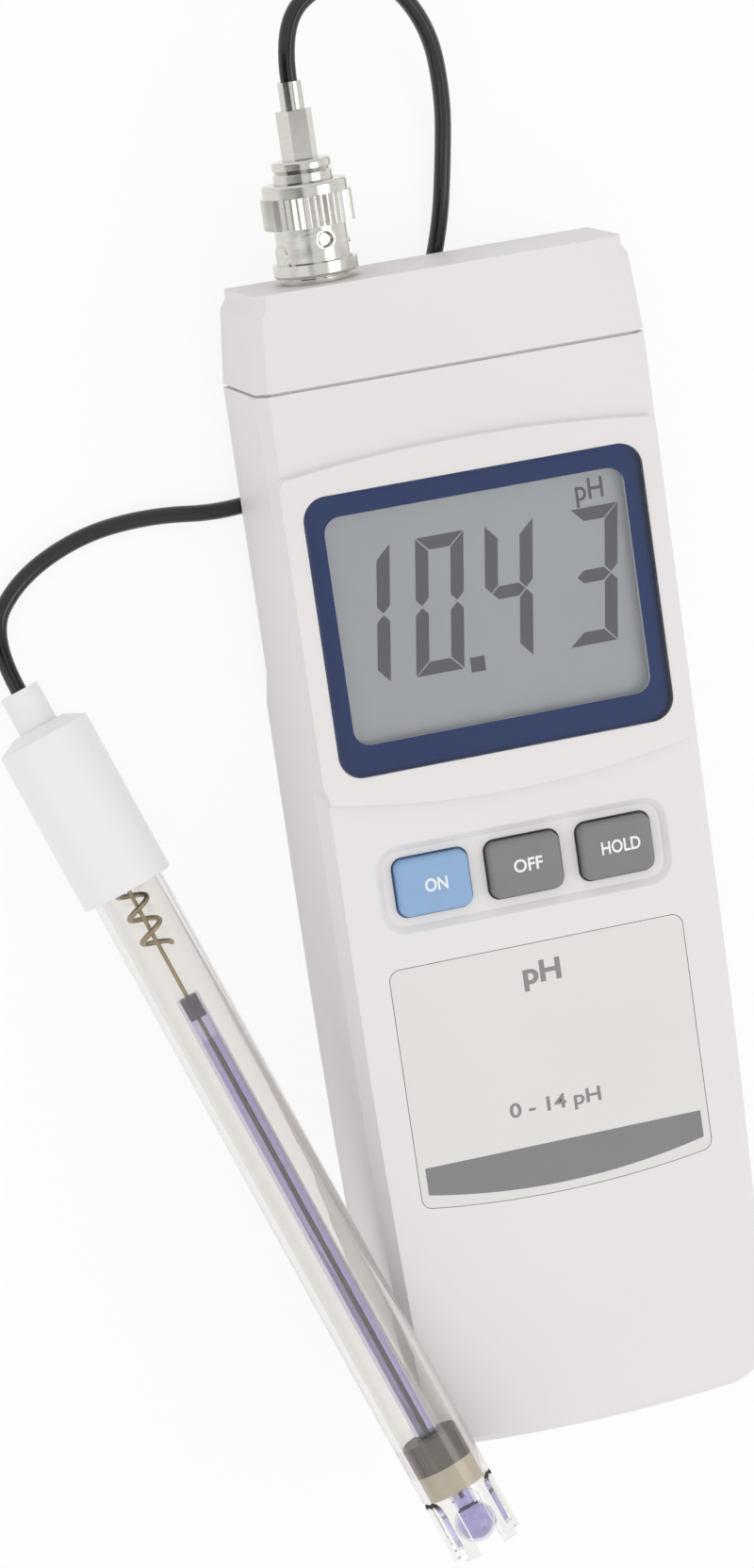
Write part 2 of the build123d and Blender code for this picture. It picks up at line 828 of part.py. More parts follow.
# Panel socket with its insulator, centre contact, washer and nut
with BuildPart() as bnc_socket:
    socket_low_y = head_top_y - socket_shank_length
    insulator_high_y = socket_mouth_y - socket_insulator_recess
    add(
        turned(
            [
                (socket_insulator_radius, socket_low_y),
                (socket_shank_radius, socket_low_y),
                (socket_shank_radius, head_top_y),
                (socket_collar_radius, head_top_y),
                (socket_collar_radius, head_top_y + socket_collar),
                (socket_radius, head_top_y + socket_collar),
                (socket_radius, socket_mouth_y),
                (socket_bore_radius, socket_mouth_y),
                (socket_bore_radius, socket_mouth_y - socket_bore_depth),
                (socket_insulator_radius, socket_mouth_y - socket_bore_depth),
            ],
            socket_plane,
        )
    )
    lug_foot = (socket_radius + socket_bore_radius) / 2
    for turn in (lug_angle, lug_angle + 180):
        across = Vector(sin(radians(turn)), 0, cos(radians(turn)))
        with BuildSketch(Plane(Vector(socket_x, lug_y, socket_z) + across * lug_foot, z_dir=across)):
            Circle(lug_radius)
        extrude(amount=lug_reach - lug_foot)

with BuildPart() as socket_insulator:
    add(
        turned(
            [
                (contact_radius, head_top_y - socket_insulator_tail),
                (socket_insulator_radius, head_top_y - socket_insulator_tail),
                (socket_insulator_radius, insulator_high_y),
                (contact_radius, insulator_high_y),
            ],
            socket_plane,
        )
    )

with BuildPart() as socket_contact:
    contact_high_y = insulator_high_y - contact_head_drop
    contact_low_y = head_top_y - contact_tail
    add(
        turned(
            [
                (0, contact_low_y),
                (contact_radius, contact_low_y),
                (contact_radius, contact_high_y),
                (contact_bore_radius, contact_high_y),
                (contact_bore_radius, contact_high_y - contact_bore_depth),
                (0, contact_high_y - contact_bore_depth),
            ],
            socket_plane,
        )
    )

with BuildPart() as socket_washer:
    washer_high_y = head_top_y - top_wall
    washer_low_y = washer_high_y - washer_thickness
    with BuildSketch(Plane.XZ.offset(-washer_low_y)):
        with Locations((socket_x, socket_z)):
            Circle(washer_radius)
            Circle(socket_shank_radius + neck_gap, mode=Mode.SUBTRACT)
    extrude(amount=-washer_thickness)

with BuildPart() as socket_nut:
    with BuildSketch(Plane.XZ.offset(-washer_low_y)):
        with Locations((socket_x, socket_z)):
            RegularPolygon(nut_across_flats / 2, 6, major_radius=False)
            Circle(socket_shank_radius + neck_gap, mode=Mode.SUBTRACT)
    extrude(amount=nut_thickness)

with BuildPart() as input_lead:
    with BuildLine(Plane.YZ.offset(socket_x)) as input_way:
        FilletPolyline(
            (contact_low_y, socket_z),
            (contact_low_y - 2 * input_lead_bend, socket_z),
            (contact_low_y - 2 * input_lead_bend, socket_z - input_lead_drop),
            (board_high_y - 2 * input_lead_bend, socket_z - input_lead_drop),
            (board_high_y - 2 * input_lead_bend, board_bottom_z),
            radius=input_lead_bend,
        )
    with BuildSketch(Plane.XZ.offset(-contact_low_y)):
        with Locations((socket_x, socket_z)):
            Circle(lead_radius)
    sweep(path=input_way.line)

# Plug: neck and outer sleeve, insulator, pin, ferrule and thrust washer
neck_bore_radius = socket_bore_radius - plug_sleeve_gap - plug_sleeve_wall
plug_shoulder_low_y = socket_mouth_y
plug_shoulder_high_y = plug_shoulder_low_y + plug_shoulder_height
neck_groove_y = (coupling_high_y + plug_high_y) / 2

with BuildPart() as plug_body:
    add(
        turned(
            [
                (neck_bore_radius, plug_sleeve_low_y),
                (socket_bore_radius - plug_sleeve_gap, plug_sleeve_low_y),
                (socket_bore_radius - plug_sleeve_gap, plug_shoulder_low_y),
                (plug_shoulder_radius, plug_shoulder_low_y),
                (plug_shoulder_radius, plug_shoulder_high_y),
                (plug_neck_radius, plug_shoulder_high_y),
                (plug_neck_radius, neck_groove_y - plug_neck_groove),
                (plug_neck_radius - plug_neck_groove, neck_groove_y),
                (plug_neck_radius, neck_groove_y + plug_neck_groove),
                (plug_neck_radius, plug_high_y),
                (0, plug_high_y),
                (0, plug_insulator_high_y),
                (neck_bore_radius, plug_insulator_high_y),
            ],
            socket_plane,
        )
    )
    fillet(plug_body.faces().sort_by(Axis.Y)[-1].edges(), radius=coupling_edge_round)

with BuildPart() as plug_insulator:
    insulator_low_y = insulator_high_y + 2 * coupling_edge_round
    add(
        turned(
            [
                (pin_radius, insulator_low_y),
                (neck_bore_radius, insulator_low_y),
                (neck_bore_radius, plug_insulator_high_y),
                (0, plug_insulator_high_y),
                (0, pin_high_y),
                (pin_radius, pin_high_y),
            ],
            socket_plane,
        )
    )

with BuildPart() as plug_pin:
    add(cylinder_along(socket_plane, pin_radius, pin_low_y, pin_high_y))
    fillet(plug_pin.faces().sort_by(Axis.Y)[0].edges(), radius=pin_round)

with BuildPart() as crimp_ferrule:
    with BuildSketch(Plane.XZ.offset(-plug_high_y)):
        with Locations((socket_x, socket_z)):
            RegularPolygon(crimp_across_flats / 2, 6, major_radius=False)
    extrude(amount=plug_high_y - crimp_high_y)
    add(cylinder_along(socket_plane, ferrule_radius, crimp_high_y, ferrule_high_y))

with BuildPart() as plug_washer:
    with BuildSketch(Plane.XZ.offset(-chamber_high_y)):
        with Locations((socket_x, socket_z)):
            Circle(chamber_radius - plug_running_gap)
            Circle(plug_neck_radius + plug_running_gap, mode=Mode.SUBTRACT)
    extrude(amount=washer_ring_height)

# Coupling: it turns on the neck, and its two tracks draw the lugs in
track_radius = lug_radius + slot_gap
track_reach = lug_reach + slot_gap
coupling_bore = socket_radius + coupling_bore_gap


def bayonet_tracks(half_width, low, high, low_y):
    """Both ways of the lugs as solids: the seat, the lead down from it and the run out to a height."""
    entry_y = lug_y - slot_lead
    with BuildPart() as tracks:
        for lug_turn in (lug_angle, lug_angle + 180):
            entry_turn = radians(lug_turn - slot_turn)
            entry_across = Vector(sin(entry_turn), 0, cos(entry_turn))
            seat_across = Vector(sin(radians(lug_turn)), 0, cos(radians(lug_turn)))
            entry = Plane((socket_x, entry_y, socket_z), x_dir=entry_across, z_dir=(0, 1, 0))
            with BuildPart(mode=Mode.PRIVATE) as lead:
                with BuildLine():
                    way = Helix(pitch=slot_lead * 360 / slot_turn, height=slot_lead, radius=(low + high) / 2)
                with BuildSketch(Plane(way @ 0, x_dir=(1, 0, 0), z_dir=way % 0)):
                    Rectangle(high - low, 2 * half_width)
                sweep(is_frenet=True)
            add(lead.part.moved(entry.location))
            for height, across in ((entry_y, entry_across), (lug_y, seat_across)):
                with BuildSketch(Plane(Vector(socket_x, height, socket_z) + across * low, z_dir=across)):
                    Circle(half_width + track_overlap)
                extrude(amount=high - low - track_overlap)
            run = Plane(
                Vector(socket_x, (entry_y + low_y) / 2, socket_z) + entry_across * low,
                x_dir=(0, 1, 0),
                z_dir=entry_across,
            )
            with BuildSketch(run):
                Rectangle(entry_y - low_y, 2 * half_width)
            extrude(amount=high - low - 2 * track_overlap)
    return tracks.part


with BuildPart() as plug_coupling:
    knurl_root = knurl_radius - knurl_depth
    flange_high_y = coupling_low_y + coupling_flange_height
    add(
        turned(
            [
                (0, coupling_low_y),
                (coupling_flange_radius, coupling_low_y),
                (coupling_flange_radius, flange_high_y),
                (coupling_radius, flange_high_y),
                (coupling_radius, knurl_high_y),
                (coupling_crown_radius, knurl_high_y),
                (coupling_crown_radius, coupling_high_y),
                (0, coupling_high_y),
            ],
            socket_plane,
        )
    )
    fillet(plug_coupling.faces().sort_by(Axis.Y)[-1].edges(), radius=coupling_edge_round)
    fillet(plug_coupling.faces().sort_by(Axis.Y)[0].edges(), radius=coupling_edge_round)
    ridge_root = socket_radius + slot_wall
    add(bayonet_tracks(track_radius + slot_wall, ridge_root, track_reach + slot_wall, flange_high_y))
    with BuildSketch(Plane.XZ.offset(-knurl_low_y)):
        with BuildLine():
            flutes = []
            for number in range(2 * knurl_count):
                turn = pi * number / knurl_count
                reach = knurl_radius if number % 2 else knurl_root
                flutes.append((socket_x + reach * sin(turn), socket_z + reach * cos(turn)))
            Polyline(*flutes, close=True)
        make_face()
    extrude(amount=knurl_low_y - knurl_high_y)
    add(
        turned(
            [
                (0, coupling_low_y - overrun),
                (coupling_bore, coupling_low_y - overrun),
                (coupling_bore, chamber_low_y),
                (chamber_radius, chamber_low_y),
                (chamber_radius, chamber_high_y),
                (plug_neck_radius + plug_running_gap, chamber_high_y),
                (plug_neck_radius + plug_running_gap, coupling_high_y + overrun),
                (0, coupling_high_y + overrun),
            ],
            socket_plane,
        ),
        mode=Mode.SUBTRACT,
    )
    add(
        bayonet_tracks(track_radius, socket_radius, track_reach, coupling_low_y - overrun),
        mode=Mode.SUBTRACT,
    )
    for turn in (lug_angle, lug_angle + 180):
        across = Vector(sin(radians(turn)), 0, cos(radians(turn)))
        with BuildSketch(Plane(Vector(socket_x, lug_y, socket_z) + across * socket_radius, z_dir=across)):
            Circle(seat_hole_radius)
        extrude(amount=overrun, mode=Mode.SUBTRACT)

# Probe: the cap's rear rim rests on the table and the tube leans on the front corner of the case
probe_tilt = 0.0
for step in range(20):
    lean_z = front_z + probe_lean_gap + tube_radius * cos(radians(probe_lean_angle)) / cos(probe_tilt)
    probe_tilt = atan((lean_z - cap_radius * cos(probe_tilt)) / probe_reach)
heading = radians(probe_heading)
probe_way = Vector(cos(probe_tilt) * cos(heading), cos(probe_tilt) * sin(heading), sin(probe_tilt))
probe_side = Vector(-sin(heading), cos(heading), 0)
probe_up = probe_way.cross(probe_side)
heel = Vector(heel_x, heel_y, cap_radius * cos(probe_tilt))
tip = heel + probe_way * probe_length
probe_plane = Plane(heel, x_dir=probe_side, z_dir=probe_side.cross(probe_way))
tip_plane = Plane(tip, x_dir=probe_side, z_dir=probe_side.cross(probe_way * -1))
tube_bore = tube_radius - tube_wall
tube_top = probe_length - cap_length + cap_socket_depth
stem_bore = stem_radius - stem_wall
junction_high = junction_low + junction_height
seal_high = junction_high + seal_height
neck_end = heel - probe_way * (neck_length + cap_shoulder)

with BuildPart() as probe_cap:
    add(
        turned(
            [
                (0, -neck_length - cap_shoulder),
                (neck_radius, -neck_length - cap_shoulder),
                (neck_radius, -cap_shoulder),
                (cap_shoulder_radius, -cap_shoulder),
                (cap_radius, 0),
                (cap_radius, cap_length),
                (tube_radius + cap_socket_gap, cap_length),
                (tube_radius + cap_socket_gap, cap_length - cap_socket_depth),
                (tube_bore, cap_length - cap_socket_depth),
                (tube_bore, cap_end_wall),
                (0, cap_end_wall),
            ],
            probe_plane,
        )
    )
    rims = probe_cap.edges().filter_by(GeomType.CIRCLE).group_by(SortBy.RADIUS)[-1]
    fillet(rims.sort_by_distance(tip)[0], radius=cap_edge_round)

with BuildPart() as probe_body:
    add(
        turned(
            [
                (tube_bore, 0),
                (tube_radius, 0),
                (tube_radius, tube_top),
                (tube_bore, tube_top),
            ],
            tip_plane,
        )
    )
    for number in range(guard_slots):
        turn = radians(guard_slot_turn + 360 * number / guard_slots)
        across = probe_up * cos(turn) + probe_side * sin(turn)
        with BuildSketch(Plane(tip, x_dir=probe_way.cross(across), z_dir=across)):
            straight = guard_slot_length - guard_slot_width / 2
            with Locations((0, (overrun - straight) / 2)):
                Rectangle(guard_slot_width, overrun + straight)
            with Locations((0, -straight)):
                Circle(guard_slot_width / 2)
        extrude(amount=cap_radius, mode=Mode.SUBTRACT)

# Inside the tube: seal, junction, glass electrode with its fill, wires and the closing plug
with BuildPart() as seal_plug:
    add(
        turned(
            [
                (stem_radius, junction_high),
                (tube_bore, junction_high),
                (tube_bore, seal_high),
                (stem_radius, seal_high),
            ],
            tip_plane,
        )
    )

with BuildPart() as junction_ring:
    add(
        turned(
            [
                (stem_radius + neck_gap, junction_low),
                (tube_bore - neck_gap, junction_low),
                (tube_bore - neck_gap, junction_high),
                (stem_radius + neck_gap, junction_high),
            ],
            tip_plane,
        )
    )

with BuildPart() as glass_electrode:
    add(cylinder_along(tip_plane, stem_radius, bulb_lift, stem_top))
    with Locations(tip - probe_way * bulb_lift):
        Sphere(bulb_radius)
    add(cylinder_along(tip_plane, stem_bore, bulb_lift, stem_top), mode=Mode.SUBTRACT)
    with Locations(tip - probe_way * bulb_lift):
        Sphere(bulb_radius - stem_wall, mode=Mode.SUBTRACT)

with BuildPart() as buffer_fill:
    fill_top = stem_top - 2 * stopper_height
    add(cylinder_along(tip_plane, stem_bore - fill_gap, bulb_lift, fill_top))
    with Locations(tip - probe_way * bulb_lift):
        Sphere(bulb_radius - stem_wall - fill_gap)
    add(cylinder_along(tip_plane, silver_wire_radius, silver_wire_low, stem_top), mode=Mode.SUBTRACT)

with BuildPart() as stem_stopper:
    add(
        turned(
            [
                (silver_wire_radius, stem_top - stopper_height),
                (stem_bore, stem_top - stopper_height),
                (stem_bore, stem_top),
                (silver_wire_radius, stem_top),
            ],
            tip_plane,
        )
    )

with BuildPart() as tube_plug:
    add(
        turned(
            [
                (silver_wire_radius, stopper_low),
                (tube_bore, stopper_low),
                (tube_bore, stopper_low + plug_disc_height),
                (silver_wire_radius, stopper_low + plug_disc_height),
            ],
            tip_plane,
        )
    )

with BuildPart() as electrode_wire:
    add(cylinder_along(tip_plane, silver_wire_radius, silver_wire_low, stopper_low + plug_disc_height))

with BuildPart() as reference_wire:
    coil_height = ref_wire_pitch * ref_wire_turns
    with BuildPart(mode=Mode.PRIVATE) as coil:
        with BuildLine():
            coil_way = Helix(pitch=ref_wire_pitch, height=coil_height, radius=ref_wire_coil_radius)
        with BuildSketch(Plane(coil_way @ 0, z_dir=coil_way % 0)):
            Circle(ref_wire_radius)
        sweep(is_frenet=True)
    coil_lead = atan(ref_wire_pitch / (2 * pi * ref_wire_coil_radius))
    coil_low = tip - probe_way * (stopper_low - ref_wire_radius * cos(coil_lead) - coil_height)
    add(coil.part.moved(Plane(coil_low, x_dir=probe_side, z_dir=probe_way * -1).location))

# Cable: straight runs and tangent bends from the plug to the probe's neck
cable_points = [
    Vector(socket_x, ferrule_high_y, socket_z),
    Vector(socket_x, ferrule_high_y + plug_end_run, socket_z),
    *(Vector(*point) for point in cable_way),
    neck_end - probe_way * cable_end_run,
    neck_end,
]
cable_radii = []
for before, corner, after in zip(cable_points, cable_points[1:], cable_points[2:]):
    turn = (corner - before).get_angle(after - corner)
    shorter = min((corner - before).length, (after - corner).length)
    cable_radii.append(0.45 * shorter / tan(radians(turn) / 2))

with BuildPart() as cable:
    with BuildLine() as cable_line:
        FilletPolyline(*cable_points, radius=cable_radii)
    with BuildSketch(Plane(cable_points[0], z_dir=(0, 1, 0))):
        Circle(cable_radius)
    sweep(path=cable_line.line)
print("cable bend radii", [round(radius, 1) for radius in cable_radii])
cable_length = cable_line.wires()[0].length
print("cable length", round(cable_length, 1))
print("cable volume", round(cable.part.volume, 1), "section by length", round(pi * cable_radius**2 * cable_length, 1))

pieces = {
    "front_shell": front_shell.part,
    "back_shell": back_shell.part,
    "top_cap": top_cap.part,
    "battery_door": battery_door.part,
    "case_screws": case_screws.part,
    "label_plate": label_plate.part,
    "display_window": display_window.part,
    "window_border": window_border.part,
    "lcd_panel": lcd_panel.part,
    "lcd_frame": lcd_frame.part,
    "contact_strips": contact_strips.part,
    "main_board": main_board.part,
    "main_chip": main_chip.part,
    "board_screws": board_screws.part,
    **keys,
    "key_mat": key_mat.part,
    "battery": battery.part,
    "battery_snap": battery_snap.part,
    "battery_leads": battery_leads.part,
    "bnc_socket": bnc_socket.part,
    "socket_insulator": socket_insulator.part,
    "socket_contact": socket_contact.part,
    "socket_washer": socket_washer.part,
    "socket_nut": socket_nut.part,
    "input_lead": input_lead.part,
    "plug_body": plug_body.part,
    "plug_insulator": plug_insulator.part,
    "plug_pin": plug_pin.part,
    "plug_washer": plug_washer.part,
    "plug_coupling": plug_coupling.part,
    "crimp_ferrule": crimp_ferrule.part,
    "cable": cable.part,
    "probe_cap": probe_cap.part,
    "probe_body": probe_body.part,
    "seal_plug": seal_plug.part,
    "junction_ring": junction_ring.part,
    "glass_electrode": glass_electrode.part,
    "buffer_fill": buffer_fill.part,
    "stem_stopper": stem_stopper.part,
    "tube_plug": tube_plug.part,
    "electrode_wire": electrode_wire.part,
    "reference_wire": reference_wire.part,
}
for name, piece in pieces.items():
    piece.label = name
    export_step(piece, f"parts/{name}.step")
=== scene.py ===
"""Looks of a hand-held digital pH meter with its bayonet plug, cable and leaning probe."""

from __future__ import annotations

import json
import logging
import math
from dataclasses import dataclass
from enum import Enum
from typing import NamedTuple

import bmesh
import bpy
from mathutils import Matrix, Vector

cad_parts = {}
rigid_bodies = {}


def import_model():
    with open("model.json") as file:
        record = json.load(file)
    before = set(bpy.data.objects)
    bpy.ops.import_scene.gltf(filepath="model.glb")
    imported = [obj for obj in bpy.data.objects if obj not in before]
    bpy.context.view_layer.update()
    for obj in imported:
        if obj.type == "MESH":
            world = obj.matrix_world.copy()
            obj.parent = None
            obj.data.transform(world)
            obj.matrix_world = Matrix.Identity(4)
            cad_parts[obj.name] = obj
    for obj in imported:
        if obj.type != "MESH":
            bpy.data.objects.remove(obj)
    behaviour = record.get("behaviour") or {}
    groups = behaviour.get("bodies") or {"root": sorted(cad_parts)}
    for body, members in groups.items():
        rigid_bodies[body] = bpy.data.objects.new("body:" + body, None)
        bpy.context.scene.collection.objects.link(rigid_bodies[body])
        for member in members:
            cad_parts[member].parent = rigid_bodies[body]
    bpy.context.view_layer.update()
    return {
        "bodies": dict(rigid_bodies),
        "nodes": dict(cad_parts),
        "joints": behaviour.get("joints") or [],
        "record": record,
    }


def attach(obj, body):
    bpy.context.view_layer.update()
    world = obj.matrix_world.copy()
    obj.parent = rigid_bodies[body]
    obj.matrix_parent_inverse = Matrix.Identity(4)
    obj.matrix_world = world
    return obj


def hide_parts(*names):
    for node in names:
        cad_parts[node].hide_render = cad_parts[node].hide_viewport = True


log = logging.getLogger("ph_meter")

MM = 0.001
MAIN_BODY = "meter"
PATCH_DETAIL = 3.0
GRAIN_DETAIL = 2.0
WAVE_DETAIL = 1.0

# How far prints stand off the face under them and reach into it, in millimetres
PRINT_RISE_MM = 0.03
PRINT_SINK_MM = 0.01


def to_linear(hex_colour: str) -> tuple[float, float, float, float]:
    """Turns a written sRGB colour into the linear one that shaders take.

    Args:
        hex_colour: Six hexadecimal digits.

    Returns:
        Linear red, green and blue, with an alpha of 1.
    """
    channels = [int(hex_colour[i : i + 2], 16) / 255 for i in (0, 2, 4)]
    red, green, blue = [c / 12.92 if c <= 0.04045 else ((c + 0.055) / 1.055) ** 2.4 for c in channels]
    return (red, green, blue, 1.0)


def add_node(
    tree: bpy.types.NodeTree,
    kind: str,
    values: dict[str, object] | None = None,
    links: dict[str, bpy.types.NodeSocket] | None = None,
    **attributes: object,
) -> bpy.types.Node:
    """Adds one node with its settings and links.

    Args:
        tree: The material's or world's tree.
        kind: The node's type name.
        values: Constants for its input sockets, by name.
        links: Outputs to join to its input sockets, by name.
        **attributes: Settings of the node itself.

    Returns:
        The new node.
    """
    node = tree.nodes.new(kind)
    for name, value in attributes.items():
        setattr(node, name, value)
    for name, value in (values or {}).items():
        node.inputs[name].default_value = value
    for name, output in (links or {}).items():
        tree.links.new(output, node.inputs[name])
    return node


def mix_shaders(
    tree: bpy.types.NodeTree,
    share: bpy.types.NodeSocket,
    first: bpy.types.NodeSocket,
    second: bpy.types.NodeSocket,
) -> bpy.types.NodeSocket:
    """Mixes two shaders.

    Args:
        tree: The material's or world's tree.
        share: How much of the second one shows.
        first: The first shader.
        second: The second shader.

    Returns:
        The mixed shader.
    """
    both = add_node(tree, "ShaderNodeMixShader", links={"Fac": share})
    tree.links.new(first, both.inputs[1])
    tree.links.new(second, both.inputs[2])
    return both.outputs["Shader"]


@dataclass(frozen=True)
class Finish:
    """A solid surface: its colour, its gloss and the relief that making it leaves."""

    name: str
    colour: str
    shade: str
    roughness: float
    patch_mm: float = 20.0
    grain_mm: float = 0.6
    grain_depth_mm: float = 0.01
    roughness_spread: float = 0.06
    metallic: float = 0.0
    coat: float = 0.0
    ior: float = 1.5
    stretch: tuple[float, float, float] = (1.0, 1.0, 1.0)

    def build(self) -> bpy.types.Material:
        """Makes the material."""
        material = bpy.data.materials.new(self.name)
        material.use_nodes = True
        tree = material.node_tree
        tree.nodes.clear()
        place = add_node(tree, "ShaderNodeTexCoord")
        turned = add_node(
            tree, "ShaderNodeMapping", {"Scale": self.stretch}, {"Vector": place.outputs["Object"]}
        )
        patches = add_node(
            tree,
            "ShaderNodeTexNoise",
            {"Scale": 1 / (self.patch_mm * MM), "Detail": PATCH_DETAIL},
            {"Vector": turned.outputs["Vector"]},
        )
        grain = add_node(
            tree,
            "ShaderNodeTexNoise",
            {"Scale": 1 / (self.grain_mm * MM), "Detail": GRAIN_DETAIL},
            {"Vector": turned.outputs["Vector"]},
        )
        colour = add_node(
            tree,
            "ShaderNodeMixRGB",
            {"Color1": to_linear(self.colour), "Color2": to_linear(self.shade)},
            {"Fac": patches.outputs["Fac"]},
        )
        gloss = add_node(
            tree,
            "ShaderNodeMapRange",
            {
                "To Min": self.roughness - self.roughness_spread,
                "To Max": self.roughness + self.roughness_spread,
            },
            {"Value": patches.outputs["Fac"]},
        )
        relief = add_node(
            tree,
            "ShaderNodeBump",
            {"Strength": 1.0, "Distance": self.grain_depth_mm * MM},
            {"Height": grain.outputs["Fac"]},
        )
        surface = add_node(
            tree,
            "ShaderNodeBsdfPrincipled",
            {"Metallic": self.metallic, "IOR": self.ior, "Coat Weight": self.coat},
            {
                "Base Color": colour.outputs["Color"],
                "Roughness": gloss.outputs["Result"],
                "Normal": relief.outputs["Normal"],
            },
        )
        add_node(tree, "ShaderNodeOutputMaterial", links={"Surface": surface.outputs["BSDF"]})
        return material


@dataclass(frozen=True)
class ClearFinish:
    """A see-through surface that lets light through to what is behind it."""

    name: str
    colour: str
    roughness: float = 0.02
    ior: float = 1.49
    grain_mm: float = 4.0
    grain_depth_mm: float = 0.004

    def build(self) -> bpy.types.Material:
        """Makes the material."""
        material = bpy.data.materials.new(self.name)
        material.use_nodes = True
        tree = material.node_tree
        tree.nodes.clear()
        place = add_node(tree, "ShaderNodeTexCoord")
        waves = add_node(
            tree,
            "ShaderNodeTexNoise",
            {"Scale": 1 / (self.grain_mm * MM), "Detail": WAVE_DETAIL},
            {"Vector": place.outputs["Object"]},
        )
        relief = add_node(
            tree,
            "ShaderNodeBump",
            {"Strength": 1.0, "Distance": self.grain_depth_mm * MM},
            {"Height": waves.outputs["Fac"]},
        )
        surface = add_node(
            tree,
            "ShaderNodeBsdfPrincipled",
            {
                "Base Color": to_linear(self.colour),
                "Roughness": self.roughness,
                "IOR": self.ior,
                "Transmission Weight": 1.0,
            },
            {"Normal": relief.outputs["Normal"]},
        )
        path = add_node(tree, "ShaderNodeLightPath")
        passing = add_node(tree, "ShaderNodeBsdfTransparent", {"Color": to_linear(self.colour)})
        both = mix_shaders(
            tree, path.outputs["Is Shadow Ray"], surface.outputs["BSDF"], passing.outputs["BSDF"]
        )
        add_node(tree, "ShaderNodeOutputMaterial", links={"Surface": both})
        return material


class Finishes:
    """Every finish of the meter, each made once and named for what the real one is."""

    # Moulded ABS: warm off-white, matt, with the fine spark-eroded grain of the mould
    case = Finish("moulded_abs", "e8e4e3", "e2dedd", 0.5, 45.0, 0.35, 0.006)
    # Screen-printed film: a shade greyer than the case and a little smoother
    label = Finish("printed_film", "e3dfdd", "dedad8", 0.42, 30.0, 0.25, 0.002)
    # Screen print: flat grey ink
    grey_print = Finish("grey_ink", "8f8b8b", "888484", 0.55, 6.0, 0.2, 0.001)
    dark_print = Finish("dark_grey_ink", "858386", "7f7d80", 0.5, 8.0, 0.2, 0.001)
    white_print = Finish("white_ink", "f4f4f4", "ececec", 0.5, 4.0, 0.2, 0.001)
    # Ink on the back of the lens: deep and even, its gloss comes from the lens
    blue_print = Finish("blue_ink_under_lens", "4a7fd6", "4478cf", 0.35, 12.0, 0.5, 0.001)
    # Acrylic lens: thin, clear and flat
    lens = ClearFinish("acrylic_lens", "fbfdff", 0.01, 1.49, 20.0, 0.0)
    # Display glass: neutral grey, with the faint haze of its front film
    glass = Finish("display_film", "abacab", "a2a2a4", 0.35, 25.0, 0.15, 0.001, coat=0.15)
    # Switched segments of the display: dark grey under the same film
    segment = Finish("display_segment", "423c45", "3c3740", 0.4, 6.0, 0.2, 0.0005)
    # Silicone key caps: satin, slightly uneven sheen
    blue_key = Finish("blue_silicone", "86a8cf", "8fb0d4", 0.42, 5.0, 0.3, 0.004)
    grey_key = Finish("grey_silicone", "7a7878", "838181", 0.42, 5.0, 0.3, 0.004)
    # Moulded rubber of the key mat and the contact strips
    pale_rubber = Finish("grey_rubber", "8c8c8a", "858583", 0.65, 5.0, 0.4, 0.01)
    # Nickel plate on turned brass: fine tool lines round the axis
    nickel = Finish(
        "nickel_plate", "dedbd6", "cfccc6", 0.16, 3.0, 0.12, 0.002, 0.05, 1.0, stretch=(1.0, 6.0, 1.0)
    )
    # Zinc-plated steel screws
    steel = Finish("zinc_steel", "b4b4b2", "9c9c9a", 0.35, 2.0, 0.2, 0.004, metallic=1.0)
    # Gilt brass contacts
    gilt = Finish("gilt_brass", "c9a24a", "b98f3c", 0.25, 2.0, 0.2, 0.002, metallic=1.0)
    # Drawn silver wire, yellowed by its chloride coat
    silver = Finish("tarnished_silver_wire", "b3a37d", "8f815f", 0.35, 1.2, 0.3, 0.02, metallic=0.8)
    # Parts inside the case: lacquered board, moulded chip, battery wrap, insulation and nylon
    board = Finish("lacquered_board", "2f6b45", "28603d", 0.4, 4.0, 0.5, 0.01)
    chip = Finish("moulded_epoxy", "232323", "1d1d1d", 0.6, 3.0, 0.3, 0.01)
    wrap = Finish("battery_wrap", "4a4d52", "424549", 0.35, 10.0, 0.4, 0.004, metallic=0.3)
    lead = Finish("wire_insulation", "a02c2c", "942626", 0.45, 3.0, 0.3, 0.005)
    white = Finish("white_insulator", "eeeeea", "e6e6e2", 0.4, 3.0, 0.3, 0.003)
    # Glossy moulded cap: cooler and whiter than the case, with soft highlights
    cap = Finish("gloss_white_pp", "f1efef", "ebe9e9", 0.32, 25.0, 0.5, 0.004)
    # PVC sheath: black and glossy, with the slight waviness of an extrusion
    sheath = Finish("pvc_sheath", "141414", "0e0e0e", 0.22, 6.0, 2.5, 0.03, coat=0.2)
    # Polycarbonate tube: clear, faintly smoky
    tube = ClearFinish("clear_polycarbonate", "f2f0ee", 0.03, 1.49, 6.0, 0.01)
    # Blown glass with a pale tint, and the liquid inside it
    bulb = ClearFinish("sensing_glass", "e2dff2", 0.03, 1.5, 3.0, 0.005)
    buffer = ClearFinish("buffer_liquid", "e4e1f2", 0.0, 1.33, 3.0, 0.0)
    # Porous ceramic ring, matt and uneven, and the cast resin that seals the tubes
    junction = Finish("porous_ceramic", "e2d8c4", "d2c7b0", 0.8, 1.5, 0.2, 0.02)
    seal = Finish("cast_seal", "786e69", "6b625d", 0.45, 3.0, 0.4, 0.01)

    def __init__(self) -> None:
        """Starts with no material made."""
        self._made: dict[str, bpy.types.Material] = {}

    def get(self, finish: Finish | ClearFinish) -> bpy.types.Material:
        """Makes a finish's material the first time it is asked for."""
        if finish.name not in self._made:
            self._made[finish.name] = finish.build()
        return self._made[finish.name]


